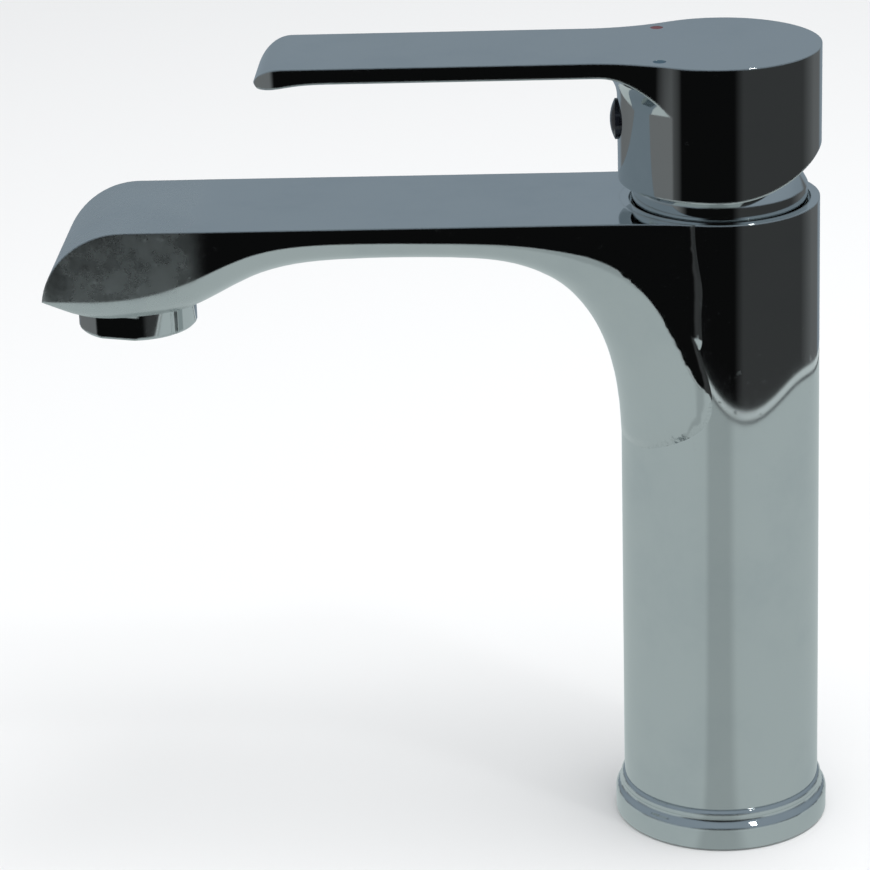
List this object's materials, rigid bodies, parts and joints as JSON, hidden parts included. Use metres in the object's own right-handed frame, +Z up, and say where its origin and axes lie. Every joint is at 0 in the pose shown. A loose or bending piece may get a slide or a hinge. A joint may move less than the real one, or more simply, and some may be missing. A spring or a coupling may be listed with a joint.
{
  "type": "single-lever basin mixer faucet",
  "caption": "Chrome single-lever basin mixer: round column on a stepped foot ring, flat spout with rolled nose and aerator, paddle lever over a ball dome.",
  "frame": {"origin": "axis of the column at the counter plane, on the underside of the foot gasket", "axes": "+Z up along the column, -Y along the spout and lever, +X to the user's right (cold side)"},
  "size_m": [0.0512, 0.1809, 0.192],
  "materials": {
    "chrome": "polished",
    "chrome_dome": "polished",
    "brass": "machined",
    "steel": "satin",
    "rubber": "matte",
    "silicone": "matte",
    "disc_ceramic": "lapped",
    "cartridge_plastic": "moulded",
    "rotor_plastic": "moulded",
    "insert_plastic": "moulded",
    "plug_plastic": "gloss",
    "hot_paint": "enamel",
    "cold_paint": "enamel"
  },
  "bodies": {
    "mixer": {"body": "chrome", "spout": "chrome", "base_ring": "chrome", "base_gasket": "rubber", "cartridge_base": "cartridge_plastic", "cartridge_housing": "cartridge_plastic", "seat_seals": "silicone", "disc_seals": "silicone", "fixed_disc": "disc_ceramic", "cartridge_nut": "brass", "dome_seal_ring": "rubber", "dome_cover": "chrome_dome", "aerator_housing": "chrome", "aerator_insert": "insert_plastic", "aerator_screen": "steel", "aerator_washer": "rubber"},
    "turret": {"rotor": "rotor_plastic", "pivot_pin": "steel"},
    "lever": {"stem": "brass", "handle": "chrome", "set_screw": "steel", "indicator_plug": "plug_plastic", "hot_mark": "hot_paint", "cold_mark": "cold_paint"},
    "disc": {"disc_carrier": "rotor_plastic", "moving_disc": "disc_ceramic"}
  },
  "joints": [
    {"name": "temperature", "type": "hinge", "parent": "mixer", "child": "turret", "pos_m": [0, 0, 0.149], "axis": [0, 0, 1], "range_deg": [-45, 45]},
    {"name": "flow_lift", "type": "hinge", "parent": "turret", "child": "lever", "pos_m": [0, 0, 0.149], "axis": [-1, 0, 0], "range_deg": [0, 22]},
    {"name": "disc_slide", "type": "slide", "parent": "turret", "child": "disc", "axis": [0, -1, 0], "range_m": [0, 0.0046]}
  ],
  "couplings": [
    {"joint": "disc_slide", "follows": "flow_lift", "m_per_rad": 0.0117}
  ]
}
